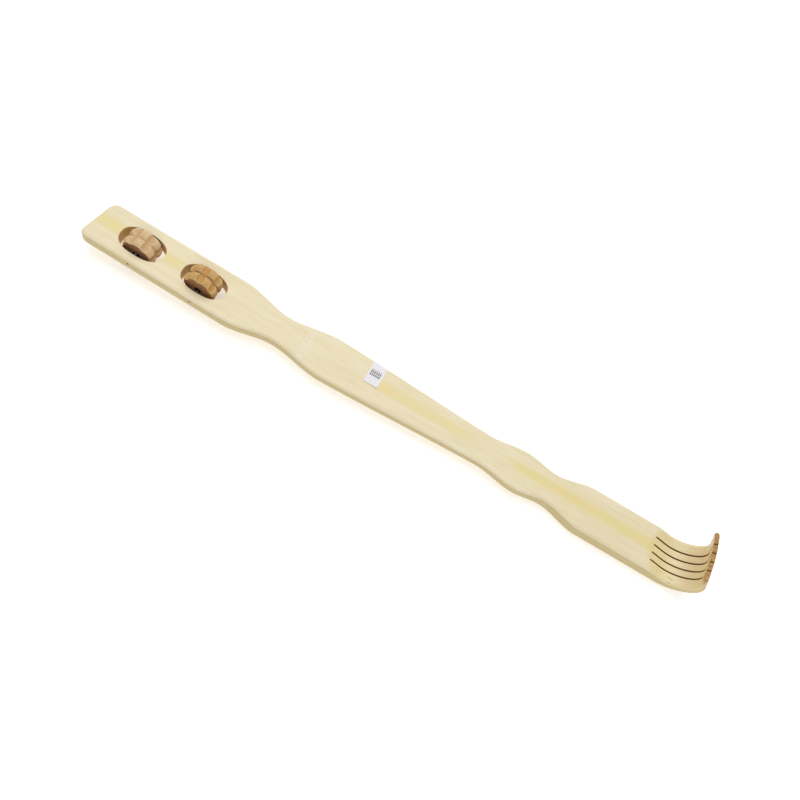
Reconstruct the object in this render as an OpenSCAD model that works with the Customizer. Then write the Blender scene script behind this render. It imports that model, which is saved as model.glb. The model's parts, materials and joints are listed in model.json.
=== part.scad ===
// Bamboo back scratcher with two massage rollers in its handle.
// The strip lies along X with its handle's end at low X, its planed inner face up and its claw bent up.
// It stands on its end roller, at z = 0, and on its shank, with the origin under its middle.

/* [Strip] */
// Length along its middle, from the handle's end to the outside of the claw
length = 462.9; // [445:0.1:500]
// Thickness of the handle
handle_t = 9.2; // [7.5:0.1:10]
// Thickness in the middle of the strip
waist_t = 7.6; // [6.5:0.1:10]
// Thickness of the shank, ahead of the claw
shank_t = 11.9; // [10:0.1:12.5]
// How far the bamboo's own round bulges the handle's outer side
outer_round = 3; // [0:0.1:3.2]
// Rounding of the long edges
edge_r = 2; // [1:0.1:3]
// Rounding of the handle's two corners, seen from above
corner_r = 5.5; // [4:0.5:10]
// Angle by which the handle's end is sawn out of square
end_skew = 10; // [-12:0.5:12]
// Angle by which the bamboo kinks up towards its handle at the growth node
kink = 1.9; // [0:0.1:4]
// Station of the growth node, from the handle's end
node_x = 158.5; // [150:0.5:165]
// Length over which the kink bends
kink_len = 44; // [20:1:60]

/* [Outline] */
// Width at the handle's end
end_w = 32.2; // [28:0.1:34]
// Width at the handle's shoulder
shoulder_w = 33.6; // [29:0.1:36]
// Station of the shoulder
shoulder_x = 104; // [100:0.5:112]
// Width of the neck
neck_w = 21.4; // [18:0.1:26]
// Station of the neck
neck_x = 139.5; // [130:0.5:146]
// Width of the belly behind the neck
belly_w = 32.1; // [28:0.1:36]
// Station of the belly
belly_x = 177.5; // [168:0.5:190]
// Width of the waist, at the end of the long taper
waist_w = 22.4; // [18:0.1:26]
// Station of the waist
waist_x = 297; // [270:0.5:304]
// Width of the knuckle
knuckle_w = 28.8; // [24:0.1:32]
// Station of the knuckle
knuckle_x = 325; // [316:0.5:332]
// Width of the wrist
wrist_w = 22.2; // [18:0.1:26]
// Station of the wrist
wrist_x = 348.5; // [340:0.5:354]
// Width of the shank and the claw
shank_w = 33; // [29:0.1:36]
// Station where the shank is full width
shank_x = 377.5; // [368:0.5:384]

/* [Claw] */
// Thickness of the scooped plate where its bend starts
claw_t = 8; // [6:0.1:8.5]
// Thickness of the finger tips
tip_t = 2.9; // [2.6:0.1:4.2]
// Inner radius of the bend
bend_r = 16.4; // [13:0.1:20]
// Angle of the bend
bend_angle = 115; // [100:1:120]
// Straight length of the fingers past the bend
tip_len = 14; // [10:0.5:20]
// Angle by which the claw is bent out of square
claw_skew = -4; // [-10:0.5:10]
// How far the claw is dished between its edges
claw_dish = 1.5; // [0:0.1:2]
// Angle by which the finger tips are sawn out of square
tip_skew = 14; // [-15:0.5:15]
// Rounding of the tip's two outer corners
tip_r = 2.6; // [1:0.2:6]
// Length of the scoop, from its arched edge to the bend
scoop_len = 18.5; // [12:0.5:24]
// How far the scoop's edge arches towards the handle
scoop_arch = 7; // [0:0.5:9]
// Distance from the scoop's edge to the start of the slits
slit_inset = 5; // [1:0.5:8]
// Width of a slit
slit_w = 0.9; // [0.6:0.1:1.4]
// Distance between slits
slit_pitch = 5.5; // [4.6:0.1:6.2]
// Number of fingers
fingers = 5; // [3:1:5]

/* [Rollers] */
// Diameter over the studs
roller_d = 23.9; // [20:0.1:26]
// Length of a roller along its axle
roller_len = 13.6; // [10:0.2:16]
// Depth of the middle groove and of the fall to the ends
groove_depth = 1.5; // [0.6:0.1:2.2]
// Number of flutes round a roller
flutes = 7; // [5:1:9]
// Radius of a flute
flute_r = 2.6; // [1.6:0.1:3.2]
// Depth of a flute at the crown of a stud
flute_depth = 1.7; // [0.8:0.1:2.2]
// Bore of a roller
bore_d = 4.6; // [4:0.1:6]
// Station of the roller at the handle's end
end_roller_x = 34.3; // [30:0.1:36]
// Distance between the two rollers
roller_pitch = 46.4; // [42:0.1:50]
// Angle from its top at which a flute of the end roller stands
end_turn = 22; // [0:1:50]
// Angle from its top at which a flute of the neck roller stands
neck_turn = 0; // [0:1:50]

/* [Axles] */
// Diameter of an axle
axle_d = 2; // [1.4:0.1:2.6]
// Depth of an axle's middle below the inner face
axle_depth = 3; // [3:0.1:4.5]
// How far an axle sits behind the middle of its slot
axle_back = 0.4; // [0:0.1:1.2]
// How far an axle's ends sit below the strip's sides
axle_inset = 0.3; // [0:0.1:1]
// Chamfer on an axle's ends
axle_chamfer = 0.3; // [0.1:0.05:0.5]

/* [Paper label] */
// Label's size along the strip
label_len = 10.5; // [6:0.5:16]
// How far the label reaches past the middle of the strip
label_past = 2; // [0:0.5:6]
// How far the label folds down the side
label_fold = 4; // [2.5:0.5:6]
// Station of the label's middle
label_x = 209; // [192:1:240]
// Thickness of the paper
label_t = 0.2; // [0.1:0.05:0.3]

/* [Clearances] */
// Gap round an axle in the strip
axle_gap = 0.02; // [0.01:0.01:0.1]
// Gap between an axle and the side of the roller's bore that it lies against
seat_gap = 0.2; // [0.1:0.05:0.3]
// Gap from a roller to each end of its slot
slot_end_gap = 4; // [2.5:0.1:6]
// Gap from a roller to each side of its slot
slot_side_gap = 2.8; // [1.5:0.1:3.6]

/* [Hidden] */

$fn = 40;
BAMBOO = "#E9DDBC";
ROLLER_WOOD = "#C99A62";
STEEL = "#6B6660";
PAPER = "#F6F6F2";

// Facets of the swept strip
RIM_STEPS = 3;
TOP_STEPS = 8;
BOTTOM_STEPS = 6;
ROUND_STEP = 1;
CLAW_STEP = 1.8;
SCOOP_STEP = 2.4;
CURVE_STEP = 4;
LONG_STEP = 12;
CROWN_STEPS = 6;
SLOT_POINTS = 56;
// Fullness of the slots' oval: 2 is an ellipse
SLOT_POWER = 2.5;
// Share of a long taper that eases in and out
TAPER_EASE = 0.4;
// Length over which an out-of-square end comes true
SKEW_LEN = 16;
// Reach of a cutter past what it cuts
OVER = 5;
// Largest share of a plate's thickness that one rounded edge takes
EDGE_SHARE = 0.45;
// How unevenly the claw thins: 1 is even
THIN_POWER = 1.5;

neck_roller_x = end_roller_x + roller_pitch;
slot_len = roller_d + 2 * slot_end_gap;
slot_w = roller_len + 2 * slot_side_gap;
// A roller is loose on its axle: it lies this far above or below it
roller_play = (bore_d - axle_d) / 2 - seat_gap;

// Lengths along the inner face of the bend, and from its start to the finger tips
bend_len = bend_r * bend_angle * PI / 180;
claw_len = bend_len + tip_len;
// The plate thins from the start of its bend to the finger tips, fastest in the bend
function plate_t(s) = tip_t + (claw_t - tip_t) * pow(1 - s / claw_len, THIN_POWER);
bend_x = length - bend_r - plate_t(bend_r * PI / 2);
scoop_depth = shank_t - claw_t;
scoop_x = bend_x - scoop_len;
slit_x = scoop_x + slit_inset;

function smooth(t) = let (u = min(max(t, 0), 1)) u * u * (3 - 2 * u);
function blend(a, b, x0, x1, x) = a + (b - a) * smooth((x - x0) / (x1 - x0));
// A long taper is straight for most of its run, with eased ends
function taper(a, b, x0, x1, x) =
    let (t = (x - x0) / (x1 - x0))
    a + (b - a) * (t + TAPER_EASE * (smooth(t) - t));
// What a quarter round of radius r takes off, at a distance d from the end
function round_off(r, d) = d < r ? r - sqrt(r * r - (r - d) * (r - d)) : 0;

// Width of the strip at a station
function width(x) =
    x < shoulder_x ? end_w + (shoulder_w - end_w) * x / shoulder_x :
    x < neck_x ? blend(shoulder_w, neck_w, shoulder_x, neck_x, x) :
    x < belly_x ? blend(neck_w, belly_w, neck_x, belly_x, x) :
    x < waist_x ? taper(belly_w, waist_w, belly_x, waist_x, x) :
    x < knuckle_x ? blend(waist_w, knuckle_w, waist_x, knuckle_x, x) :
    x < wrist_x ? blend(knuckle_w, wrist_w, knuckle_x, wrist_x, x) :
    blend(wrist_w, shank_w, wrist_x, shank_x, x);

// Thickness of the unscooped strip at a station
function thickness(x) =
    x < belly_x ? blend(handle_t, waist_t, shoulder_x, belly_x, x) :
    blend(waist_t, shank_t, waist_x, shank_x, x);
// How far the outer side bulges at a station: it is planed flat by the shank
function bulge(x) = blend(outer_round, 0, neck_x, shank_x, x);

// Height of the inner face: level along the shank, rising to the handle behind the node
function face_z(x) =
    let (d = node_x - x, w = kink_len / 2)
    tan(kink) * (d > w ? d : d < -w ? 0 : (d + w) * (d + w) / (4 * w));

// How far a point is from the middle of the shank, squared: 1 at its edges
function off_middle(y) = 4 * y * y / (shank_w * shank_w);
// Depth of the scoop at a point of the inner face
function scoop(x, y) =
    let (start = scoop_x + scoop_arch * off_middle(y))
    (scoop_depth - claw_dish * off_middle(y)) * smooth((x - start) / (bend_x - start));

// One cross-section as [x, y, z] points, anticlockwise seen from the handle's end.
// base is the middle of its lower side, lean turns it about Y, askew is how far it moves along X and Z
// for each step across the strip, dish is how far its upper and lower sides are dished, swell is how far
// its lower side bulges, and grow sets its skin out by that much.
function section(base, lean, half, t, x, askew, dish, swell, grow) =
    let (
        edge_t = t - scoop(x, half) + (dish[0] - dish[1]) * off_middle(half),
        r = min(edge_r, EDGE_SHARE * edge_t),
        flat = half - r,
        top = [for (i = [0 : TOP_STEPS]) let (y = flat * (2 * i / TOP_STEPS - 1))
            [y, t - scoop(x, y) + dish[0] * off_middle(y) + grow]],
        high = [for (i = [1 : RIM_STEPS]) let (a = 90 - 90 * i / RIM_STEPS)
            [flat + (r + grow) * cos(a), top[0][1] - grow - r + (r + grow) * sin(a)]],
        low = [for (i = [0 : RIM_STEPS]) let (a = -90 * i / RIM_STEPS)
            [flat + (r + grow) * cos(a), dish[1] * off_middle(flat) + r + (r + grow) * sin(a)]],
        bottom = [for (i = [1 : BOTTOM_STEPS - 1]) let (y = flat * (1 - 2 * i / BOTTOM_STEPS))
            [y, dish[1] * off_middle(y) - swell * (1 - y * y / (flat * flat)) - grow]],
        rim = concat(top, high, low, bottom,
            [for (i = [0 : RIM_STEPS]) let (p = low[RIM_STEPS - i]) [-p[0], p[1]]],
            [for (i = [1 : RIM_STEPS]) let (p = high[RIM_STEPS - i]) [-p[0], p[1]]])
    )
    [for (p = rim)
        [base[0] + p[0] * askew[0] - p[1] * sin(lean), p[0], base[1] + p[0] * askew[1] + p[1] * cos(lean)]];

// A section of the strip proper, upright at its station
function strip_section(x, grow = 0) =
    let (
        rim = round_off(edge_r, x),
        half = width(x) / 2 - round_off(corner_r, x),
        t = thickness(x) - 2 * rim,
        askew = tan(end_skew) * (1 - smooth(x / SKEW_LEN))
            + tan(claw_skew) * smooth((x - shank_x) / (scoop_x - shank_x))
    )
    section([x, face_z(x) - thickness(x) + rim], 0, half, t, x, [askew, 0], [0, 0], bulge(x), grow);

// A section of the bent plate, at a distance s along its inner face from the start of the bend
function claw_section(s) =
    let (
        a = min(s / bend_len, 1) * bend_angle,
        past = max(s - bend_len, 0),
        t = plate_t(s),
        ahead = tan(tip_skew) * past / tip_len,
        half = shank_w / 2 - round_off(tip_r, claw_len - s),
        inner = [bend_x + bend_r * sin(a) + past * cos(a),
            bend_r * (1 - cos(a)) + past * sin(a) - scoop_depth],
        base = [inner[0] + t * sin(a), inner[1] - t * cos(a)],
        askew = [tan(claw_skew) + ahead * cos(a), ahead * sin(a)]
    )
    section(base, a, half, t, 0, askew, claw_dish * [1, smooth(2 * s / bend_len)], 0, 0);

// Stations from a to b, at most a step apart and leaving out b
function span(a, b, step) =
    let (count = ceil((b - a) / step))
    [for (i = [0 : count - 1]) a + (b - a) * i / count];

label_ends = [label_x - label_len / 2, label_x + label_len / 2];
stations = concat(
    [for (i = [0 : RIM_STEPS - 1]) edge_r * (1 - cos(90 * i / RIM_STEPS))],
    span(edge_r, corner_r, ROUND_STEP), span(corner_r, SKEW_LEN, CURVE_STEP),
    span(SKEW_LEN, shoulder_x, shoulder_x),
    span(shoulder_x, neck_x, CURVE_STEP), span(neck_x, belly_x, CURVE_STEP),
    span(belly_x, label_ends[0], LONG_STEP), [label_ends[0]], span(label_ends[1], waist_x, LONG_STEP),
    span(waist_x, knuckle_x, CURVE_STEP), span(knuckle_x, wrist_x, CURVE_STEP),
    span(wrist_x, shank_x, CURVE_STEP),
    span(shank_x, scoop_x, LONG_STEP), span(scoop_x, bend_x, SCOOP_STEP));
claw_stations = concat(
    span(0, bend_len, CLAW_STEP), span(bend_len, claw_len - tip_r, LONG_STEP),
    [for (i = [0 : RIM_STEPS]) claw_len - tip_r * (1 - sin(90 * i / RIM_STEPS))]);

// The point midway between a section's points
function middle(ring) = [for (p = ring) 1] * ring / len(ring);

// Skins a row of equal sections into one closed solid
module skin(rings) {
    n = len(rings[0]);
    last = len(rings) - 1;
    first_cap = n * len(rings);
    last_cap = first_cap + 1;
    points = concat([for (ring = rings) for (p = ring) p], [middle(rings[0]), middle(rings[last])]);
    polyhedron(points, concat(
        [for (i = [0 : n - 1]) [first_cap, (i + 1) % n, i]],
        [for (i = [0 : n - 1]) [last_cap, last * n + i, last * n + (i + 1) % n]],
        [for (k = [0 : last - 1], i = [0 : n - 1]) let (j = (i + 1) % n)
            [k * n + i, k * n + j, (k + 1) * n + i]],
        [for (k = [0 : last - 1], i = [0 : n - 1]) let (j = (i + 1) % n)
            [k * n + j, (k + 1) * n + j, (k + 1) * n + i]]));
}

// Moves its children to the handle's inner face at a station, turned with the kink
module on_handle(x) translate([x, 0, face_z(x)]) rotate([0, kink, 0]) children();

// Middle of the axle that crosses the handle at a station
function axle_at(x) = [x - axle_depth * sin(kink), 0, face_z(x) - axle_depth * cos(kink)];

// The lowest point, under the shank, the belly or a roller, stands at z = 0
floor_z = min(-shank_t, -waist_t - bulge(belly_x), axle_at(end_roller_x)[2] - roller_play - roller_d / 2,
    axle_at(neck_roller_x)[2] + roller_play - roller_d / 2);
// Where the out-of-square handle's end and claw reach furthest
low_x = min([for (x = stations) for (p = strip_section(x)) p[0]]);
high_x = max([for (s = claw_stations) for (p = claw_section(s)) p[0]]);
module stand() translate([-(low_x + high_x) / 2, 0, -floor_z]) children();

// An oval with flattened sides
module slot_outline() polygon([for (i = [0 : SLOT_POINTS - 1]) let (a = 360 * i / SLOT_POINTS)
    [slot_len / 2 * sign(cos(a)) * pow(abs(cos(a)), 2 / SLOT_POWER),
     slot_w / 2 * sign(sin(a)) * pow(abs(sin(a)), 2 / SLOT_POWER)]]);

module roller_slot(x) on_handle(x + axle_back) translate([0, 0, -handle_t - outer_round - OVER])
    linear_extrude(handle_t + outer_round + 2 * OVER) slot_outline();

module axle_hole(x) translate(axle_at(x)) rotate([90, 0, 0])
    cylinder(d = axle_d + 2 * axle_gap, h = shoulder_w + 2 * OVER, center = true);

module slit(y) translate([slit_x + y * tan(claw_skew), y - slit_w / 2, -shank_t - OVER])
    cube([length - slit_x + OVER, slit_w, shank_t + tip_len + 2 * bend_r + 2 * OVER]);

module bamboo_strip() color(BAMBOO) stand() difference() {
    skin(concat([for (x = stations) strip_section(x)], [for (s = claw_stations) claw_section(s)]));
    roller_slot(end_roller_x);
    roller_slot(neck_roller_x);
    axle_hole(end_roller_x);
    axle_hole(neck_roller_x);
    for (i = [1 : fingers - 1]) slit((i - fingers / 2) * slit_pitch);
}

// Half of a roller's outline, crowned over each of its two rings of studs
function crown_r(z) =
    let (u = (abs(z) - roller_len / 4) / (roller_len / 4))
    roller_d / 2 - groove_depth * u * u;

// A roller that stands with one of its flutes turned by an angle from its top
module roller(turn) rotate([90, 0, 0]) difference() {
    rotate_extrude() polygon(concat(
        [[bore_d / 2, roller_len / 2], [bore_d / 2, -roller_len / 2]],
        [for (i = [-2 * CROWN_STEPS : 2 * CROWN_STEPS])
            let (z = roller_len / 2 * i / (2 * CROWN_STEPS)) [crown_r(z), z]]));
    for (i = [0 : flutes - 1]) rotate(90 + turn + 360 * i / flutes)
        translate([roller_d / 2 - flute_depth + flute_r, 0, 0])
            cylinder(r = flute_r, h = roller_len + 2 * OVER, center = true);
}

// The roller at the end hangs on its axle, and the one by the neck is pushed up by what it stands on
module end_roller() color(ROLLER_WOOD) stand()
    translate(axle_at(end_roller_x) - [0, 0, roller_play]) roller(end_turn);
module neck_roller() color(ROLLER_WOOD) stand()
    translate(axle_at(neck_roller_x) + [0, 0, roller_play]) roller(neck_turn);

module axle(x) {
    half = width(x) / 2 - axle_inset;
    translate(axle_at(x)) rotate([90, 0, 0]) rotate_extrude() polygon([
        [0, -half], [axle_d / 2 - axle_chamfer, -half], [axle_d / 2, -half + axle_chamfer],
        [axle_d / 2, half - axle_chamfer], [axle_d / 2 - axle_chamfer, half], [0, half]]);
}
module end_axle() color(STEEL) stand() axle(end_roller_x);
module neck_axle() color(STEEL) stand() axle(neck_roller_x);

// A slip of paper that lies on the inner face and folds down over the strip's far edge
module paper_label() color(PAPER) stand() difference() {
    skin([for (x = label_ends) strip_section(x, label_t)]);
    skin([for (x = concat(label_ends[0] - OVER, label_ends, label_ends[1] + OVER)) strip_section(x)]);
    translate([label_x - label_len, -belly_w, -2 * waist_t])
        cube([2 * label_len, belly_w - label_past, 4 * waist_t]);
    translate([label_x - label_len, -belly_w, -2 * waist_t])
        cube([2 * label_len, 2 * belly_w, 2 * waist_t - label_fold]);
}

bamboo_strip();
end_roller();
neck_roller();
end_axle();
neck_axle();
paper_label();
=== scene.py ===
"""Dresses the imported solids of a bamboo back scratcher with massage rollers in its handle.

Sizes in the classes are millimetres, as a maker would give them. Meshes are metres, in the frame of the
solids.
"""

import json
import logging
import math
from dataclasses import dataclass, field
from enum import Enum
from typing import Any, Optional, Sequence

import bmesh
import bpy
import numpy as np
from bpy.types import ID, Material, Mesh, Node, NodeSocket, NodeTree, Object
from mathutils import Matrix, Vector


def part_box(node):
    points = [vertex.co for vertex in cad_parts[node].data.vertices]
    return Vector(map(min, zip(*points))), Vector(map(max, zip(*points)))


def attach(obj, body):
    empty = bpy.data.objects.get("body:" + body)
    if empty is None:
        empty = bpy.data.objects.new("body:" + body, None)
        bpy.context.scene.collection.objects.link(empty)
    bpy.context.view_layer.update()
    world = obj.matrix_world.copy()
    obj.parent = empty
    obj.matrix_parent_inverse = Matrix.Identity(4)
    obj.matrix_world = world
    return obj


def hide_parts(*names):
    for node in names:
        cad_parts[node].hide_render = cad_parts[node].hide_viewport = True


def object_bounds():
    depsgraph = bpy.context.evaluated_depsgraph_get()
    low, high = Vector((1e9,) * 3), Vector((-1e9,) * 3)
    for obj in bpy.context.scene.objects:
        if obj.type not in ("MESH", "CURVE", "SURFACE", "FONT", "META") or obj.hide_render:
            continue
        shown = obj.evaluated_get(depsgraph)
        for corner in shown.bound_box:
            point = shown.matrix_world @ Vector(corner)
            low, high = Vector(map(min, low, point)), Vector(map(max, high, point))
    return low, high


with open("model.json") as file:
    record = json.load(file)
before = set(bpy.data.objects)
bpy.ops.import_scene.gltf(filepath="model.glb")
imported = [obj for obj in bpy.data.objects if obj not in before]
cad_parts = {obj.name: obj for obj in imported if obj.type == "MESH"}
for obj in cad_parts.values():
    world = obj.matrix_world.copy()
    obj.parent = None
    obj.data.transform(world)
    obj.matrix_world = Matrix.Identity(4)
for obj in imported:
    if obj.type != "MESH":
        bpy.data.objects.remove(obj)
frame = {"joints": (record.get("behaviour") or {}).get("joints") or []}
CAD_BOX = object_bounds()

MM = 0.001
FULL_TURN = 2 * math.pi
QUARTER_TURN = math.pi / 2
LOG = logging.getLogger("back_scratcher")

# how wide a hard edge in a pattern is, in millimetres or in shares of a pitch
HAIR = 0.001

# a reach says where something starts, where it is full, and how strong it is then
Reach = tuple[float, float, float]
Triple = tuple[float, float, float]


class Body(Enum):
    """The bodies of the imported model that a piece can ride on."""

    STRIP = "body"
    END_ROLLER = "end_roller"
    NECK_ROLLER = "neck_roller"


class Wear(Enum):
    """How far use has rounded a roller's studs, as passes of smoothing."""

    CRISP = 2
    WORN = 7


def linear(colour: str) -> tuple[float, float, float, float]:
    """Turns an sRGB hex colour into linear red, green, blue and alpha.

    Args:
        colour: Six hex digits after a hash.

    Returns:
        The linear colour with an alpha of 1.
    """
    parts = [int(colour[i : i + 2], 16) / 255 for i in (1, 3, 5)]
    red, green, blue = [c / 12.92 if c <= 0.04045 else ((c + 0.055) / 1.055) ** 2.4 for c in parts]
    return red, green, blue, 1.0


def add(
    tree: NodeTree,
    kind: str,
    settings: Optional[dict[str, Any]] = None,
    inputs: Optional[dict[Any, Any]] = None,
) -> Node:
    """Adds a node with its settings and links.

    Args:
        tree: The tree that gets the node.
        kind: Blender's name for the node type.
        settings: Properties of the node.
        inputs: Values by socket identifier, name or place. A node or socket is linked, a list links each.

    Returns:
        The new node.
    """
    node = tree.nodes.new(kind)
    for name, value in (settings or {}).items():
        setattr(node, name, value)
    for key, value in (inputs or {}).items():
        by_identifier = [s for s in node.inputs if s.identifier == key]
        socket = by_identifier[0] if by_identifier else node.inputs[key]
        for one in value if isinstance(value, list) else [value]:
            if isinstance(one, Node):
                one = next(s for s in one.outputs if s.enabled and not s.is_unavailable)
            if isinstance(one, NodeSocket):
                tree.links.new(one, socket)
            else:
                socket.default_value = one
    return node


def work_out(tree: NodeTree, known: dict[str, Any], rows: Sequence[tuple]) -> dict[str, Any]:
    """Adds the nodes that work out a table of measures.

    Args:
        tree: The tree that gets the nodes.
        known: Nodes and sockets by name.
        rows: For each new measure its name, its operation and its terms, as names or numbers. SMOOTHSTEP
            takes a value, its two limits and the results there.

    Returns:
        The known measures and the new ones by name.
    """
    measures = dict(known)
    for name, operation, *terms in rows:
        linked = {place: measures.get(term, term) for place, term in enumerate(terms)}
        if operation == "SMOOTHSTEP":
            measures[name] = add(tree, "ShaderNodeMapRange", {"interpolation_type": operation}, linked)
        else:
            measures[name] = add(tree, "ShaderNodeMath", {"operation": operation}, linked)
    return measures


def link_object(name: str, data: ID) -> Object:
    """Puts a mesh, a light or a camera into the scene as an object at the origin.

    Args:
        name: The object's name.
        data: What it shows.

    Returns:
        The new object.
    """
    made = bpy.data.objects.new(name, data)
    bpy.context.scene.collection.objects.link(made)
    return made


def attributes(mesh: Mesh, values: dict[str, np.ndarray]) -> None:
    """Stores numbers or vectors on a mesh's points.

    Args:
        mesh: The mesh.
        values: Arrays by attribute name, one row a point.
    """
    for name, array in values.items():
        vector = array.ndim == 2
        layer = mesh.attributes.new(name, "FLOAT_VECTOR" if vector else "FLOAT", "POINT")
        layer.data.foreach_set("vector" if vector else "value", array.astype(np.float32).ravel())


def read(rows: Any, name: str) -> np.ndarray:
    """Reads a vector of each of a mesh's points or faces.

    Args:
        rows: The mesh's points or faces.
        name: The property to read.

    Returns:
        The vectors, one row each.
    """
    flat = np.zeros(len(rows) * 3, np.float32)
    rows.foreach_get(name, flat)
    return flat.reshape(-1, 3).astype(float)


def polyline(name: str, points: np.ndarray, closed: bool, values: dict[str, np.ndarray]) -> Object:
    """Makes a line of points that carry attributes.

    Args:
        name: The object's name.
        points: Places in metres, one row each.
        closed: Whether the last point joins the first.
        values: Arrays by attribute name, one row a point.

    Returns:
        The line as an object.
    """
    mesh = bpy.data.meshes.new(name)
    count = len(points)
    edges = [(i, (i + 1) % count) for i in range(count if closed else count - 1)]
    mesh.from_pydata([tuple(p) for p in points], edges, [])
    attributes(mesh, values)
    return link_object(name, mesh)


def skin(name: str, rings: Sequence[Sequence[Triple]], bored: bool = False) -> Object:
    """Joins rings of points into a closed skin.

    Args:
        name: The object's name.
        rings: Places in metres, ring by ring. A ring of one point is a pole.
        bored: Whether the last ring joins the first. Otherwise both end rings are closed.

    Returns:
        The closed skin as an object, its faces outward.
    """
    shape = bmesh.new()
    loops = [[shape.verts.new(point) for point in ring] for ring in rings]
    sides = max(len(loop) for loop in loops)
    for one, two in zip(loops, loops[1:] + (loops[:1] if bored else [])):
        for i in range(sides):
            j = (i + 1) % sides
            corners = [one[i % len(one)], one[j % len(one)], two[j % len(two)], two[i % len(two)]]
            shape.faces.new(list(dict.fromkeys(corners)))
    for end in () if bored else (loops[0], loops[-1]):
        if len(end) > 1:
            shape.faces.new(end)
    bmesh.ops.recalc_face_normals(shape, faces=shape.faces)
    mesh = bpy.data.meshes.new(name)
    shape.to_mesh(mesh)
    shape.free()
    return link_object(name, mesh)


def lathe(name: str, outline: Sequence[tuple[float, float]], sides: int) -> Object:
    """Turns a closed outline about Z.

    Args:
        name: The object's name.
        outline: Radius and height in millimetres. A radius of 0 at both ends closes a shaft, and otherwise
            the last point joins the first as in a bored piece.
        sides: Facets round the axis.

    Returns:
        The turned piece as an object.
    """
    angles = [FULL_TURN * i / sides for i in range(sides)]
    rings = []
    for radius, height in outline:
        turn = angles if radius else [0.0]
        rings.append([(radius * MM * math.cos(a), radius * MM * math.sin(a), height * MM) for a in turn])
    return skin(name, rings, bored=all(radius for radius, _ in outline))


def finished_mesh(blank: Object) -> Mesh:
    """Takes an object's shape with its modifiers as a plain mesh and removes the object.

    Args:
        blank: The object to finish.

    Returns:
        Its plain mesh.
    """
    graph = bpy.context.evaluated_depsgraph_get()
    mesh = bpy.data.meshes.new_from_object(blank.evaluated_get(graph), depsgraph=graph)
    bpy.data.objects.remove(blank)
    return mesh


def seat(made: Object, node: str, body: Body) -> Object:
    """Lets a finished piece stand for its solid.

    Args:
        made: The piece.
        node: The solid's name.
        body: The body that it rides on.

    Returns:
        The same piece.
    """
    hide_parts(node)
    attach(made, body.value)
    return made


def ease(value: Any, start: Any, full: Any, most: float = 1.0) -> np.ndarray:
    """Eases from 0 at the start to the most where it is full, and holds both beyond."""
    share = np.clip((value - start) / (full - start), 0, 1)
    return most * share * share * (3 - 2 * share)


def rounding(radius: float, away: np.ndarray) -> np.ndarray:
    """Gives what a quarter round of a radius takes off at distances from the end."""
    left = np.clip(radius - away, 0, radius)
    return radius - np.sqrt(radius * radius - left * left)


class GeometryRecipe:
    """A geometry node tree with named inputs, run once on a blank."""

    SOCKETS = {float: "Float", int: "Int", tuple: "Vector", Object: "Object", Material: "Material"}

    def __init__(self, name: str, values: dict[str, Any], numbers: str = "", vectors: str = "") -> None:
        """Makes a tree that has only its inputs and what it reads from its lines.

        Args:
            name: The tree's name.
            values: Values by the name of the input, which also give its kind.
            numbers: Names of the numbers that the swept lines carry.
            vectors: Names of the vectors that the swept lines carry.
        """
        self.values = values
        self.tree = bpy.data.node_groups.new(name, "GeometryNodeTree")
        for way in ("OUTPUT", "INPUT"):
            self.tree.interface.new_socket("Geometry", in_out=way, socket_type="NodeSocketGeometry")
        for label, value in values.items():
            kind = "NodeSocket" + self.SOCKETS[type(value)]
            self.tree.interface.new_socket(label, in_out="INPUT", socket_type=kind)
        self.given = add(self.tree, "NodeGroupInput").outputs
        self.known: dict[str, Any] = {label: self.given[label] for label in values}
        reader = "GeometryNodeInputNamedAttribute"
        for kind, carried in (("FLOAT", numbers), ("FLOAT_VECTOR", vectors)):
            for label in carried.split():
                self.known[label] = add(self.tree, reader, {"data_type": kind}, {"Name": label})

    def sweep(self) -> Node:
        """Sweeps the section along the blank's line and closes both ends.

        Returns:
            The node that gives the swept skin.
        """
        outline = add(self.tree, "GeometryNodeObjectInfo", inputs={"Object": self.given["Section"]})
        rail = add(self.tree, "GeometryNodeMeshToCurve", inputs={"Mesh": self.given["Geometry"]})
        profile = add(self.tree, "GeometryNodeMeshToCurve", inputs={"Mesh": outline.outputs["Geometry"]})
        lines = {"Curve": rail, "Profile Curve": profile, "Fill Caps": True}
        return add(self.tree, "GeometryNodeCurveToMesh", inputs=lines)

    def finish(self, geometry: Node) -> None:
        """Ends the tree with plain geometry in one material.

        Args:
            geometry: The node that gives the finished shape.
        """
        plain = add(self.tree, "GeometryNodeRealizeInstances", inputs={"Geometry": geometry})
        smooth = add(self.tree, "GeometryNodeSetShadeSmooth", inputs={"Geometry": plain})
        coat = {"Geometry": smooth, "Material": self.given["Material"]}
        coated = add(self.tree, "GeometryNodeSetMaterial", inputs=coat)
        add(self.tree, "NodeGroupOutput", inputs={"Geometry": coated})

    def run(self, blank: Object) -> Mesh:
        """Runs the tree on a blank, which it uses up.

        Args:
            blank: The object that the tree starts from.

        Returns:
            The result as a plain mesh.
        """
        modifier = blank.modifiers.new(self.tree.name, "NODES")
        modifier.node_group = self.tree
        for item in self.tree.interface.items_tree:
            if item.in_out == "INPUT" and item.name in self.values:
                modifier[item.identifier] = self.values[item.name]
        return finished_mesh(blank)


@dataclass(frozen=True)
class Fade:
    """A share of a coat that rises or falls between two values of a measure."""

    measure: Any
    low: float
    high: float
    most: float = 1.0
    falls: bool = False
    soft: bool = True


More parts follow.
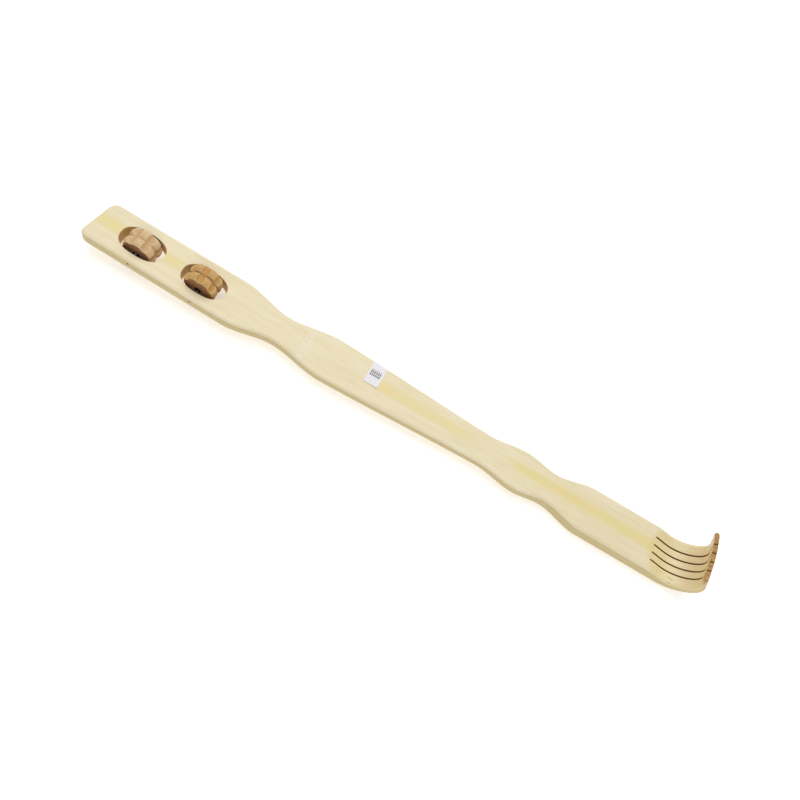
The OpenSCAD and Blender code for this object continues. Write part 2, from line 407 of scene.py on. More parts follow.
class Finish:
    """What the finishes share: coats of colour over a ground, a roughness and a fine relief."""

    name: str
    roughness: float

    def begin(self) -> tuple[Material, NodeTree]:
        """Makes the finish's material.

        Returns:
            The material, and its tree with a plain shader in it.
        """
        material = bpy.data.materials.new(self.name)
        material.use_nodes = True
        return material, material.node_tree

    def streaks(
        self, tree: NodeTree, place: NodeSocket, size: Sequence[float], detail: int, rough: float = 0.5
    ) -> NodeSocket:
        """Makes a noise of a real size, drawn out where its three sizes differ.

        Args:
            tree: The material's tree.
            place: The coordinates that it follows.
            size: Its sizes in the unit of the coordinates.
            detail: How many finer layers it has.
            rough: How strong the finer layers are.

        Returns:
            The noise's value.
        """
        drawn = add(tree, "ShaderNodeMapping", inputs={"Vector": place, "Scale": tuple(1 / s for s in size)})
        noise = {"Vector": drawn, "Scale": 1, "Detail": detail, "Roughness": rough}
        return add(tree, "ShaderNodeTexNoise", inputs=noise).outputs["Fac"]

    def cover(
        self,
        tree: NodeTree,
        ground: str,
        coats: Sequence[tuple[str, Sequence[Any]]],
        relief: Optional[tuple[NodeSocket, float, float]] = None,
    ) -> None:
        """Lays coats of colour over a ground and sets the surface.

        Args:
            tree: The material's tree.
            ground: The colour under all coats.
            coats: Each coat's colour and its shares, which are multiplied: fades, sockets or numbers.
            relief: The height of the fine relief, its strength and its depth in millimetres.
        """
        shader = tree.nodes["Principled BSDF"]
        face: Any = linear(ground)
        for colour, shares in coats:
            amount: Any = None
            for share in shares:
                if isinstance(share, Fade):
                    ends = (share.most, 0.0) if share.falls else (0.0, share.most)
                    limits = dict(enumerate((share.measure, share.low, share.high, *ends)))
                    way = {"interpolation_type": "SMOOTHSTEP" if share.soft else "LINEAR"}
                    share = add(tree, "ShaderNodeMapRange", way, limits)
                if amount is not None:
                    share = add(tree, "ShaderNodeMath", {"operation": "MULTIPLY"}, {0: amount, 1: share})
                amount = share
            mixed = {"Factor_Float": amount, "A_Color": face, "B_Color": linear(colour)}
            face = add(tree, "ShaderNodeMix", {"data_type": "RGBA"}, mixed)
        tree.links.new(face.outputs[2], shader.inputs["Base Color"])
        shader.inputs["Roughness"].default_value = self.roughness
        if relief:
            height, strength, depth = relief
            heights = {"Strength": strength, "Distance": depth * MM, "Height": height}
            bump = add(tree, "ShaderNodeBump", inputs=heights)
            tree.links.new(bump.outputs["Normal"], shader.inputs["Normal"])


@dataclass(frozen=True)
class PlanedBamboo(Finish):
    """Bamboo, split, planed on its inner face and sanded.

    Fibres run the whole length as fine lighter and darker lines, the heart of the wall shows as a yellow
    stripe where the plane bit deepest, and a growth node crosses as a paler band with open pores. The surface
    is dry and only faintly glossy, and steaming has toasted the claw.
    """

    name: str = "planed_bamboo"
    cream: str = "#EEE2C0"
    straw: str = "#E5D5A9"
    fibre: str = "#D8C594"
    heart: str = "#E8D68E"
    # partly the denser wood of the sides, partly painted shade: faces turning from the planed face to the
    # rind are coloured darker
    flank: str = "#C3AE76"
    rind: str = "#D2BE82"
    # partly the browner cut wood, partly painted shade: the walls inside the slots are coloured darker
    cut: str = "#CBA24C"
    toast: str = "#DBBE85"
    scorch: str = "#A26A0A"
    pore: str = "#B99F6A"
    pale: str = "#EFE6CE"
    bruise: str = "#8A6632"
    roughness: float = 0.5
    fibre_size: Triple = (16.0, 0.5, 0.5)
    fibre_reach: Reach = (0.48, 0.78, 0.55)
    cloud_size: Triple = (70.0, 4.0, 4.0)
    cloud_reach: Reach = (0.36, 0.72, 0.7)
    stripe_edge: tuple[float, float] = (3.2, 2.0)
    node_reach: Reach = (0.8, 4.0, 0.6)
    pore_pitch: float = 1.1
    pore_reach: Reach = (0.2, 0.36, 0.8)
    toasted: float = 0.6
    blotch_size: Triple = (1.8, 1.8, 1.8)
    blotch_reach: Reach = (0.48, 0.66, 1.0)
    blotched: float = 0.75
    blotch_start: float = 0.8
    scorch_beside: float = 0.25
    scorch_behind: float = 0.3
    bruise_reach: Reach = (0.4, 1.0, 0.6)
    relief: tuple[float, float] = (0.5, 0.03)

    def make(self, strip: "BambooStrip") -> Material:
        """Makes the material in the strip's own coordinates along, across and into the wall.

        Args:
            strip: The strip that the patterns follow.

        Returns:
            The material.
        """
        material, tree = self.begin()
        place = add(tree, "ShaderNodeAttribute", {"attribute_name": "grain"}).outputs["Vector"]
        split = add(tree, "ShaderNodeSeparateXYZ", inputs={"Vector": place}).outputs
        along = split["X"]
        far = work_out(tree, {"along": along, "across": split["Y"]}, (
            ("past stripe", "SUBTRACT", "across", strip.stripe_y),
            ("from stripe", "ABSOLUTE", "past stripe"),
            ("past node", "SUBTRACT", "along", strip.pores_x),
            ("from node", "ABSOLUTE", "past node"),
            ("from middle", "ABSOLUTE", "across"),
            ("pitches", "DIVIDE", "across", strip.slit_pitch),
            ("between", "FRACT", "pitches"),
            ("past slit", "SUBTRACT", "between", 0.5),
            ("from slit", "ABSOLUTE", "past slit"),
        ))

        # fine fibres and soft clouds, both drawn out along the strip
        fibres = self.streaks(tree, place, self.fibre_size, detail=3)
        clouds = self.streaks(tree, place, self.cloud_size, detail=2)
        coats: list[tuple[str, list[Any]]] = [
            (self.straw, [Fade(clouds, *self.cloud_reach, soft=False)]),
            (self.fibre, [Fade(fibres, *self.fibre_reach, soft=False)]),
        ]

        # the yellow stripe beside the middle line, over each of its runs along the strip
        half, (inside, outside) = strip.stripe_w / 2, self.stripe_edge
        band = Fade(far["from stripe"], half - inside, half + outside, falls=True)
        for start, full, last, end, strength in strip.stripe:
            run = [band, Fade(along, start, full, strength), Fade(along, last, end, falls=True)]
            coats.append((self.heart, run))

        # the growth node: a paler band with open pores
        at_node = Fade(far["from node"], *self.node_reach, falls=True)
        cells = add(tree, "ShaderNodeTexVoronoi", inputs={"Vector": place, "Scale": 1 / self.pore_pitch})
        dots = Fade(cells.outputs["Distance"], *self.pore_reach, falls=True)
        coats += [(self.pale, [at_node]), (self.pore, [dots, at_node])]

        # the sides are denser and darker, with painted shade in their colour on the walls and rounded edges;
        # the rind is smooth; the slots show the wall cut across, also with painted shade in its colour; and
        # the scoop cuts into yellower wood
        marks = {"flank": self.flank, "rind": self.rind, "slot_wall": self.cut, "scooped": self.heart}
        for mark, colour in marks.items():
            marked = add(tree, "ShaderNodeAttribute", {"attribute_name": mark})
            coats.append((colour, [marked.outputs["Fac"]]))

        # steam has toasted the claw, its fingers are blotched, and the saw has scorched its slits
        coats.append((self.toast, [Fade(along, strip.bend_x, strip.bend_x + strip.bend_len, self.toasted)]))
        patches = self.streaks(tree, place, self.blotch_size, detail=4)
        blotches = Fade(patches, *self.blotch_reach, soft=False)
        fingers = strip.bend_x + self.blotch_start * strip.bend_len
        tips = strip.bend_x + strip.claw_len
        coats.append((self.bruise, [blotches, Fade(along, fingers, tips, self.blotched)]))
        kerf, outer = strip.slit_w / 2, (strip.fingers - 1) / 2 * strip.slit_pitch
        beside = [edge / strip.slit_pitch for edge in (kerf, kerf + self.scorch_beside)]
        behind = strip.slit_x - self.scorch_behind
        among = Fade(far["from middle"], outer, outer + HAIR, falls=True)
        slits = [Fade(far["from slit"], *beside, falls=True), among, Fade(along, behind, behind + HAIR)]
        coats.append((self.scorch, slits))

        # short bruises along the fibres of the near finger
        for x, y, long, wide in strip.bruises:
            lie = {"Vector": place, "Location": (-x / long, -y / wide, 0), "Scale": (1 / long, 1 / wide, 0)}
            near = add(tree, "ShaderNodeMapping", inputs=lie)
            away = add(tree, "ShaderNodeVectorMath", {"operation": "LENGTH"}, {0: near}).outputs["Value"]
            coats.append((self.bruise, [Fade(away, *self.bruise_reach, falls=True)]))
        self.cover(tree, self.cream, coats, (fibres, *self.relief))
        return material


@dataclass(frozen=True)
class SawnBambooEnd(Finish):
    """Bamboo sawn across at the finger tips and the handle's end.

    The cut fibre bundles show as brown streaks and specks, darker and duller than the planed face.
    """

    name: str = "sawn_bamboo_end"
    light: str = "#CDA262"
    dark: str = "#6E4A1E"
    streak_size: Triple = (2.6, 0.4, 2.6)
    streak_reach: Reach = (0.36, 0.58, 1.0)
    streak_rough: float = 0.7
    roughness: float = 0.75
    relief: tuple[float, float] = (0.7, 0.08)

    def make(self) -> Material:
        """Makes the material.

        Returns:
            The material.
        """
        material, tree = self.begin()
        place = add(tree, "ShaderNodeAttribute", {"attribute_name": "grain"}).outputs["Vector"]
        streaks = self.streaks(tree, place, self.streak_size, detail=4, rough=self.streak_rough)
        coat = (self.light, [Fade(streaks, *self.streak_reach, soft=False)])
        self.cover(tree, self.dark, [coat], (streaks, *self.relief))
        return material


@dataclass(frozen=True)
class TurnedWood(Finish):
    """A plain light hardwood, turned and notched by machine and left unfinished.

    The studs are tan with fine lines of grain, their rubbed edges are paler, the notches keep the warmer
    colour of fresh cuts, and the end faces round the bore are dark, partly as end grain and partly as
    painted shade; the bore's wall is painted near-black as shade.
    """

    name: str
    stud: str
    grain: str
    notch: str
    rubbed: str
    groove: str
    # the end faces: darker end grain, with painted shade in the colour
    end: str = "#7A4C28"
    # painted shade: the bore's wall is coloured near-black, as the hole is dark in shade
    bore: str = "#2E1A0C"
    # real lines of grain are finer, and these are as wide as they need to be to show
    line_size: Triple = (7.0, 0.35, 0.35)
    line_reach: Reach = (0.42, 0.66, 1.0)
    line_rough: float = 0.6
    roughness: float = 0.62
    relief: tuple[float, float] = (0.6, 0.06)

    def make(self) -> Material:
        """Makes the material.

        Returns:
            The material.
        """
        material, tree = self.begin()
        place = add(tree, "ShaderNodeTexCoord").outputs["Object"]
        size = [s * MM for s in self.line_size]
        lines = self.streaks(tree, place, size, detail=4, rough=self.line_rough)
        coats = [(self.grain, [Fade(lines, *self.line_reach, soft=False)])]
        marks = {"notch": self.notch, "rub": self.rubbed, "groove": self.groove}
        # the end faces' colour carries painted shade with the end grain, and the bore's wall is painted shade
        for mark, colour in {**marks, "end_grain": self.end, "bore_wall": self.bore}.items():
            marked = add(tree, "ShaderNodeAttribute", {"attribute_name": mark})
            coats.append((colour, [marked.outputs["Fac"]]))
        self.cover(tree, self.stud, coats, (lines, *self.relief))
        return material


@dataclass(frozen=True)
class DrawnSteel(Finish):
    """Plain steel wire, drawn and cut, dulled by handling: dark, with scratches along it."""

    name: str = "drawn_steel_wire"
    bright: str = "#8C867E"
    dull: str = "#4A443D"
    # real scratches are finer, and these are as wide as they need to be to show
    scratch_size: Triple = (0.15, 6.0, 0.15)
    scratch_reach: Reach = (0.35, 0.7, 1.0)
    roughness: float = 0.42

    def make(self) -> Material:
        """Makes the material.

        Returns:
            The material.
        """
        material, tree = self.begin()
        place = add(tree, "ShaderNodeTexCoord").outputs["Object"]
        lines = self.streaks(tree, place, [s * MM for s in self.scratch_size], detail=3)
        self.cover(tree, self.dull, [(self.bright, [Fade(lines, *self.scratch_reach, soft=False)])])
        tree.nodes["Principled BSDF"].inputs["Metallic"].default_value = 1.0
        return material


@dataclass(frozen=True)
class LabelPaper(Finish):
    """Uncoated white label paper: matt, with faint fibres and a few plain dark bars of print."""

    name: str = "label_paper"
    white: str = "#EFECEF"
    ink: str = "#34343C"
    inked: float = 0.9
    # real paper fibres are finer, and these are as coarse as they need to be to show
    fibre: float = 0.4
    bar_pitch: tuple[float, float] = (1.3, 2.1)
    bar_share: tuple[float, float] = (0.62, 0.76)
    roughness: float = 0.85
    relief: tuple[float, float] = (0.3, 0.02)

    def make(self, label: "PaperLabel") -> Material:
        """Makes the material.

        Args:
            label: The label that the bars are placed on.

        Returns:
            The material.
        """
        material, tree = self.begin()
        place = add(tree, "ShaderNodeAttribute", {"attribute_name": "sheet"}).outputs["Vector"]
        split = add(tree, "ShaderNodeSeparateXYZ", inputs={"Vector": place}).outputs
        bars: list[Any] = [self.inked]
        ways = zip((split["X"], split["Y"]), label.print_area, self.bar_pitch, self.bar_share)
        for way, (low, high), pitch, share in ways:
            rows = (("rows", "DIVIDE", "way", pitch), ("in row", "FRACT", "rows"))
            in_row = work_out(tree, {"way": way}, rows)["in row"]
            bars += [Fade(in_row, share, share + HAIR, falls=True), Fade(way, low, low + HAIR)]
            bars.append(Fade(way, high, high + HAIR, falls=True))
        own = add(tree, "ShaderNodeTexCoord").outputs["Object"]
        fuzz = self.streaks(tree, own, [self.fibre * MM] * 3, detail=3)
        self.cover(tree, self.white, [(self.ink, bars)], (fuzz, *self.relief))
        return material


@dataclass
class BambooStrip:
    """The scratcher's one long piece: handle, neck, belly, waist, knuckle, wrist, shank and claw."""

    length: float = 462.9
    handle_t: float = 9.2
    waist_t: float = 7.6
    shank_t: float = 11.9
    outer_round: float = 3.0
    edge_r: float = 2.0
    corner_r: float = 5.5
    end_skew: float = 10.0
    skew_len: float = 16.0
    kink: float = 1.9
    node_x: float = 158.5
    pores_x: float = 159.3
    kink_len: float = 44.0
    end_w: float = 32.2
    # stations from the handle's end, and the widths there
    shoulder: tuple[float, float] = (104.0, 33.6)
    neck: tuple[float, float] = (139.5, 21.4)
    belly: tuple[float, float] = (177.5, 32.1)
    waist: tuple[float, float] = (297.0, 22.4)
    knuckle: tuple[float, float] = (325.0, 28.8)
    wrist: tuple[float, float] = (348.5, 22.2)
    shank: tuple[float, float] = (377.5, 33.0)
    taper_ease: float = 0.4
    claw_t: float = 8.0
    tip_t: float = 2.9
    thin_power: float = 1.5
    bend_r: float = 16.4
    bend_angle: float = 115.0
    tip_len: float = 14.0
    claw_skew: float = -4.0
    claw_dish: float = 1.5
    tip_skew: float = 14.0
    tip_r: float = 2.6
    tip_edge: float = 0.4
    scoop_len: float = 18.5
    scoop_arch: float = 7.0
    slit_inset: float = 5.0
    slit_w: float = 0.9
    slit_pitch: float = 5.5
    fingers: int = 5
    roller_x: tuple[float, float] = (34.3, 80.7)
    axle_depth: float = 3.0
    axle_back: float = 0.4
    slot_len: float = 31.9
    slot_w: float = 19.2
    slot_power: float = 2.5
    slot_rim: float = 0.4
    hole_d: float = 2.04
    edge_share: float = 0.45
    over: float = 5.0
    # how far apart the rail's stations are by the end, along the skew, along the handle and in the scoop
    steps: tuple[float, ...] = (0.4, 1.0, 1.5, 0.6)
    # how many points the rail has round the end, round the bend, up the fingers and round their tips
    rail_points: tuple[int, int, int, int] = (8, 48, 16, 13)
    # how many points the section has over the face and the outer side, and steps round an edge and up a wall
    section_points: tuple[int, int] = (33, 17)
    edge_steps: int = 6
    wall_steps: int = 5
    slot_points: int = 128
    hole_sides: int = 32
    stripe_y: float = 1.2
    stripe_w: float = 8.6
    # where each run of the stripe starts, is full, begins to fade and ends, and how strong it is
    stripe: tuple[tuple[float, float, float, float, float], ...] = (
        (0.0, 4.0, 55.0, 75.0, 0.75),
        (206.0, 220.0, 270.0, 300.0, 0.55),
        (208.0, 214.0, 217.0, 234.0, 0.5),
        (308.0, 326.0, 424.0, 436.0, 0.75),
    )
    # where each bruise lies along and across, and how long and wide it is
    bruises: tuple[tuple[float, float, float, float], ...] = (
        (445.9, -12.0, 2.1, 0.4),
        (448.1, -12.6, 1.7, 0.36),
        (446.5, -15.4, 1.5, 0.36),
    )
    # the marks' reaches: by depth in a slot for the cut walls with their painted shade, by how far a face
    # turns to the rind for the flanks' painted shade and for the rind, and along the scoop
    slot_margin: float = 1.08
    wall_mark: Reach = (0.1, 0.6, 1.0)
    flank_mark: Reach = (-0.62, -0.28, 0.9)
    rind_mark: Reach = (0.4, 0.8, 0.8)
    scoop_mark: Reach = (0.0, 0.5, 0.4)
    scoop_ease: float = 1.6
    scoop_fade: float = 0.5
    sharp_angle: float = 35.0
    sawn_tip: float = 0.8
    sawn_facing: float = -0.9
    finish: PlanedBamboo = field(default_factory=PlanedBamboo)
    end_finish: SawnBambooEnd = field(default_factory=SawnBambooEnd)
    node: str = "bamboo_strip"

    def __post_init__(self) -> None:
        """Works out the claw's places and how the strip stands in the frame of the solids."""
        self.middle, self.lift = 0.0, 0.0
        low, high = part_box("end_axle")
        axle = np.array(self.handle_point(self.roller_x[0], self.axle_depth)) - np.array((low + high) / 2)
        self.middle, self.lift = float(axle[0] / MM), float(-axle[2] / MM)
        self.bend_len = self.bend_r * math.radians(self.bend_angle)
        self.claw_len = self.bend_len + self.tip_len
        self.claw_out = math.tan(math.radians(self.claw_skew))
        self.tip_out = math.tan(math.radians(self.tip_skew))
        self.bend_x = self.length - self.bend_r - float(self.plate(np.array(self.bend_r * QUARTER_TURN)))
        self.scoop_depth = self.shank_t - self.claw_t
        self.scoop_x = self.bend_x - self.scoop_len
        self.slit_x = self.scoop_x + self.slit_inset

    def width(self, x: np.ndarray) -> np.ndarray:
        """Gives the strip's width.

        Args:
            x: Stations from the handle's end.

        Returns:
            The widths there.
        """
        made = self.end_w + (self.shoulder[1] - self.end_w) * np.clip(x / self.shoulder[0], 0, 1)
        marks = [self.shoulder, self.neck, self.belly, self.waist, self.knuckle, self.wrist, self.shank]
        for (x0, w0), (x1, w1) in zip(marks, marks[1:]):
            eased = ease(x, x0, x1)
            if (x0, w0) == self.belly:
                share = np.clip((x - x0) / (x1 - x0), 0, 1)
                eased = share + self.taper_ease * (eased - share)
            made = made + (w1 - w0) * eased
        return made

    def thickness(self, x: np.ndarray) -> np.ndarray:
        """Gives the unscooped strip's thickness at stations from the handle's end."""
        thinned = ease(x, self.shoulder[0], self.belly[0], self.waist_t - self.handle_t)
        return self.handle_t + thinned + ease(x, self.waist[0], self.shank[0], self.shank_t - self.waist_t)

    def plate(self, s: np.ndarray) -> np.ndarray:
        """Gives the claw's thickness at distances from the start of its bend."""
        left = np.clip(1 - s / self.claw_len, 0, 1)
        return self.tip_t + (self.claw_t - self.tip_t) * left**self.thin_power

    def face_z(self, x: np.ndarray) -> np.ndarray:
        """Gives the height of the planed face, which kinks up behind the growth node.

        Args:
            x: Stations from the handle's end.

        Returns:
            The heights there.
        """
        away, half = self.node_x - x, self.kink_len / 2
        bend = np.where(np.abs(away) < half, (away + half) ** 2 / (4 * half), np.maximum(away, 0))
        return math.tan(math.radians(self.kink)) * bend

    def off_middle(self, y: np.ndarray) -> np.ndarray:
        """Gives how far points are from the middle of the shank, squared: 1 at its edges."""
        return (2 * y / self.shank[1]) ** 2

    def scoop_start(self, y: np.ndarray) -> np.ndarray:
        """Gives the station where the arched scoop starts."""
        return self.scoop_x + self.scoop_arch * self.off_middle(y)

    def scoop(self, x: np.ndarray, y: np.ndarray) -> np.ndarray:
        """Gives the depth of the scoop at points of the planed face."""
        deep = self.scoop_depth - self.claw_dish * self.off_middle(y)
        return deep * ease(x, self.scoop_start(y), self.bend_x)

    def claw_share(self, x: np.ndarray) -> np.ndarray:
        """Gives the share of the claw's skew that stations along the shank have taken up."""
        return ease(x, self.shank[0], self.scoop_x)

    def to_frame(self, points: np.ndarray) -> np.ndarray:
        """Moves points from stations in millimetres to metres in the frame of the solids."""
        return (points + np.array([-self.middle, 0, self.lift])) * MM

    def handle_point(self, x: float, below: float) -> tuple[float, ...]:
        """Gives a point under the handle's planed face.

        Args:
            x: Station from the handle's end.
            below: Distance below the face, square to it.

        Returns:
            The point in metres in the frame of the solids.
        """
        angle = math.radians(self.kink)
        z = float(self.face_z(np.array(x)))
        point = np.array([x - below * math.sin(angle), 0, z - below * math.cos(angle)])
        return tuple(float(c) for c in self.to_frame(point))

    def rail(self) -> Object:
        """Makes the line that the section is swept along, with the section's sizes on its points.

        Returns:
            The line as an object.
        """
        join = np.concatenate

        # the handle and the shank, by station, with a rounded end
        at_end, in_bend, up_fingers, at_tips = self.rail_points
        ends = (self.edge_r, self.corner_r, self.skew_len, self.scoop_x, self.bend_x)
        runs = [self.edge_r * (1 - np.cos(np.linspace(0, QUARTER_TURN, at_end, endpoint=False)))]
        for a, b, step in zip(ends, ends[1:], self.steps):
            runs.append(np.linspace(a, b, math.ceil((b - a) / step), endpoint=False))
        x = join(runs)
        level = 0 * x
        rim = rounding(self.edge_r, x)
        skew = math.tan(math.radians(self.end_skew)) * (1 - ease(x, 0, self.skew_len))
        skew = skew + self.claw_out * self.claw_share(x)
        base = np.stack([x, level, self.face_z(x) - self.thickness(x) + rim], axis=1)
        swell = self.outer_round * (1 - ease(x, self.neck[0], self.shank[0]))

        # the claw, by distance from the start of its bend, with a rounded tip
        last = self.claw_len - self.tip_r * (1 - np.sin(np.linspace(0, QUARTER_TURN, at_tips)))
        bend = np.linspace(0, self.bend_len, in_bend, endpoint=False)
        s = join([bend, np.linspace(self.bend_len, last[0], up_fingers, endpoint=False), last])
        lean = np.radians(self.bend_angle) * np.minimum(s / self.bend_len, 1)
        past = np.maximum(s - self.bend_len, 0)
        soft = rounding(self.tip_edge, self.claw_len - s)
        plate = self.plate(s)
        inner_x = self.bend_x + self.bend_r * np.sin(lean) + past * np.cos(lean)
        inner_z = self.bend_r * (1 - np.cos(lean)) + past * np.sin(lean) - self.scoop_depth
        lower = plate - soft
        claw = np.stack([inner_x + lower * np.sin(lean), 0 * s, inner_z - lower * np.cos(lean)], axis=1)
        ahead = self.tip_out * past / self.tip_len

        turn = join([level, lean])
        station = join([x, 0 * s])
        thick = join([self.thickness(x) - 2 * rim, plate - 2 * soft])
        shank_half = self.shank[1] / 2 - rounding(self.tip_r, self.claw_len - s)
        half = join([self.width(x) / 2 - rounding(self.corner_r, x), shank_half])
        dish_top = join([level, self.claw_dish + 0 * s])
        dish_low = join([level, ease(s, 0, self.bend_len / 2, self.claw_dish)])
        edge_t = thick - self.scoop(station, half) + (dish_top - dish_low) * self.off_middle(half)
        askew_x = join([skew, self.claw_out + ahead * np.cos(lean)])
        askew_z = join([level, ahead * np.sin(lean)])
        points = self.to_frame(join([base, claw]))
        values = {
            "base": points,
            "up": np.stack([-np.sin(turn), 0 * turn, np.cos(turn)], axis=1),
            "ahead": np.stack([askew_x, 0 * turn, askew_z], axis=1),
            "half": half * MM,
            "thick": thick * MM,
            "round": np.minimum(self.edge_r, self.edge_share * edge_t) * MM,
            "dish_top": dish_top * MM,
            "dish_low": dish_low * MM,
            "swell": join([swell, 0 * s]) * MM,
            "station": station * MM,
        }
        return polyline("strip_rail", points, False, values)

    def section(self) -> Object:
        """Makes the section's outline as shares of its flats and its rounded edges.

        Returns:
            The outline as an object.
        """
        on_face, on_rind = self.section_points
        quarter = [QUARTER_TURN * i / self.edge_steps for i in range(self.edge_steps + 1)]
        wall = [i / self.wall_steps for i in range(1, self.wall_steps)]
        rows = [(u, 0, 1, 1) for u in np.linspace(-1, 1, on_face)]
        rows += [(1, math.sin(a), 1, math.cos(a)) for a in quarter[1:]]
        rows += [(1, 1, 1 - w, 0) for w in wall]
        rows += [(1, math.cos(a), 0, -math.sin(a)) for a in quarter]
        rows += [(u, 0, 0, -1) for u in np.linspace(1, -1, on_rind)[1:-1]]
        rows += [(-1, -math.sin(a), 0, -math.cos(a)) for a in quarter]
        rows += [(-1, -1, w, 0) for w in wall]
        rows += [(-1, -math.cos(a), 1, math.sin(a)) for a in quarter[:-1]]
        flat, side, top, rise = np.array(rows[::-1], float).T

        # any open shape will do here, because the tree moves every point
        wide, tall = 10, 4
        places = np.stack([flat * wide + side, top * tall + rise, 0 * flat], axis=1) * MM
        return polyline("strip_section", places, True, {"flat": flat, "side": side, "top": top, "rise": rise})

    def slot_cutter(self) -> Object:
        """Makes the cutter of a roller's slot, flared at the planed face for the sanded rim.

        Returns:
            The cutter as an object.
        """
        around = np.linspace(0, FULL_TURN, self.slot_points, endpoint=False)
        unit = np.stack([np.cos(around), np.sin(around)], axis=1)
        unit = np.sign(unit) * np.abs(unit) ** (2 / self.slot_power)
        levels = [(self.over, self.slot_rim)]
        for a in (QUARTER_TURN * i / self.edge_steps for i in range(self.edge_steps + 1)):
            levels.append((-self.slot_rim * (1 - math.cos(a)), self.slot_rim * (1 - math.sin(a))))
        levels += [(-self.handle_t / 2, 0.0), (-self.handle_t - self.outer_round - self.over, 0.0)]
        size = np.array([self.slot_len / 2, self.slot_w / 2])
        rings = [[(u * MM, v * MM, z * MM) for u, v in unit * (size + out)] for z, out in levels]
        return skin("slot_cutter", rings)

    def recipe(self, values: dict[str, Any]) -> GeometryRecipe:
        """Makes the tree that sweeps the section along the rail and saws slots, holes and slits into it.

        Args:
            values: The tree's inputs by name.

        Returns:
            The tree, ready to run.
        """
        numbers = "flat side top rise half thick round dish_top dish_low swell station"
        made = GeometryRecipe("Swept strip", values, numbers, "base up ahead")
        tree, given = made.tree, made.given
        shape = work_out(tree, made.known, (
            # across: the flat's share of the width, and the rounded edge beyond it
            ("inner", "SUBTRACT", "half", "round"),
            ("lie", "MULTIPLY", "flat", "inner"),
            ("across", "MULTIPLY_ADD", "side", "round", "lie"),
            # the scoop starts on an arch and eases down to the bend, less deep at its edges
            ("share", "DIVIDE", "lie", "Half width"),
            ("off", "MULTIPLY", "share", "share"),
            ("start", "MULTIPLY_ADD", "off", "Scoop arch", "Scoop start"),
            ("dished", "MULTIPLY", "off", "Claw dish"),
            ("deep", "SUBTRACT", "Scoop depth", "dished"),
            ("scoop", "SMOOTHSTEP", "station", "start", "Scoop end", 0.0, "deep"),
            # upwards: from the bulged or dished lower side to the scooped or dished face
            ("floor", "MULTIPLY", "off", "dish_low"),
            ("left", "SUBTRACT", "thick", "scoop"),
            ("face", "MULTIPLY_ADD", "off", "dish_top", "left"),
            ("tall", "SUBTRACT", "face", "floor"),
            ("wall", "MULTIPLY_ADD", "round", -2.0, "tall"),
            ("curl", "MULTIPLY_ADD", "rise", "round", "round"),
            ("climb", "MULTIPLY_ADD", "top", "wall", "curl"),
            ("raised", "ADD", "climb", "floor"),
            ("square", "MULTIPLY", "flat", "flat"),
            ("bow", "SUBTRACT", 1.0, "square"),
            ("under", "SUBTRACT", 1.0, "top"),
            ("bulge", "MULTIPLY", "bow", "under"),
            ("drop", "MULTIPLY", "bulge", "swell"),
            ("height", "SUBTRACT", "raised", "drop"),
        ))
        place = shape["base"]
        sideways = (0.0, 1.0, 0.0)
        for way, reach in ((shape["up"], "height"), (shape["ahead"], "across"), (sideways, "across")):
            step = add(tree, "ShaderNodeVectorMath", {"operation": "SCALE"}, {0: way, "Scale": shape[reach]})
            place = add(tree, "ShaderNodeVectorMath", {"operation": "ADD"}, {0: place, 1: step})
        shaped = add(tree, "GeometryNodeSetPosition", inputs={"Geometry": made.sweep(), "Position": place})

        # two slots, two holes for the axles and the slits between the fingers
        shown = add(tree, "GeometryNodeObjectInfo", inputs={"Object": given["Slot cutter"]})
        bit = {"Vertices": self.hole_sides, "Radius": given["Hole radius"], "Depth": given["Hole length"]}
        drill = add(tree, "GeometryNodeMeshCylinder", inputs=bit).outputs["Mesh"]
        saw = add(tree, "GeometryNodeMeshCube", inputs={"Size": given["Slit size"]}).outputs["Mesh"]
        turned = add(tree, "FunctionNodeEulerToRotation", inputs={"Euler": given["Slot turn"]})
        cuts = []
        for tool, count, first, step, turn in (
            (shown.outputs["Geometry"], 2, "First slot", "Slot step", turned),
            (drill, 2, "First hole", "Slot step", (QUARTER_TURN, 0.0, 0.0)),
            (saw, given["Slits"], "First slit", "Slit step", (0.0, 0.0, 0.0)),
        ):
            row = {"Count": count, "Start Location": given[first], "Offset": given[step]}
            line = add(tree, "GeometryNodeMeshLine", inputs=row)
            each = {"Points": line, "Instance": tool, "Rotation": turn}
            copies = add(tree, "GeometryNodeInstanceOnPoints", inputs=each)
            cuts.append(add(tree, "GeometryNodeRealizeInstances", inputs={"Geometry": copies}))
        solver = {"operation": "DIFFERENCE", "solver": "MANIFOLD"}
        made.finish(add(tree, "GeometryNodeMeshBoolean", solver, {"Mesh 1": shaped, "Mesh 2": cuts}))
        return made

    def grain(self, points: np.ndarray) -> tuple[np.ndarray, np.ndarray]:
        """Gives each point's place in the bamboo and the way from the planed face to the rind there.

        Args:
            points: Places in metres in the frame of the solids.

        Returns:
            The distances along the fibres, across and in from the planed face in millimetres, and the unit
            ways.
        """
        own = points / MM - np.array([-self.middle, 0, self.lift])
        y, z = own[:, 1], own[:, 2]
        x = own[:, 0] - self.claw_out * y * self.claw_share(own[:, 0])
        along, depth = x.copy(), self.face_z(x) - z
        dx, dz = x - self.bend_x, z - (self.bend_r - self.scoop_depth)
        full = math.radians(self.bend_angle)
        angle = np.where(dx > 0, np.arctan2(dx, -dz), 0)
        lean = np.minimum(angle, full)
        ring, far = (dx > 0) & (angle <= full), angle > full
        along[ring] = self.bend_x + self.bend_r * angle[ring]
        depth[ring] = np.hypot(dx, dz)[ring] - self.bend_r
        ex, ez = dx - self.bend_r * math.sin(full), dz + self.bend_r * math.cos(full)
        past = (ex * math.cos(full) + ez * math.sin(full)) / (1 + y * self.tip_out / self.tip_len)
        along[far] = self.bend_x + self.bend_len + past[far]
        depth[far] = (ex * math.sin(full) - ez * math.cos(full))[far]
        return np.stack([along, y, depth], axis=1), np.stack([np.sin(lean), 0 * y, -np.cos(lean)], axis=1)

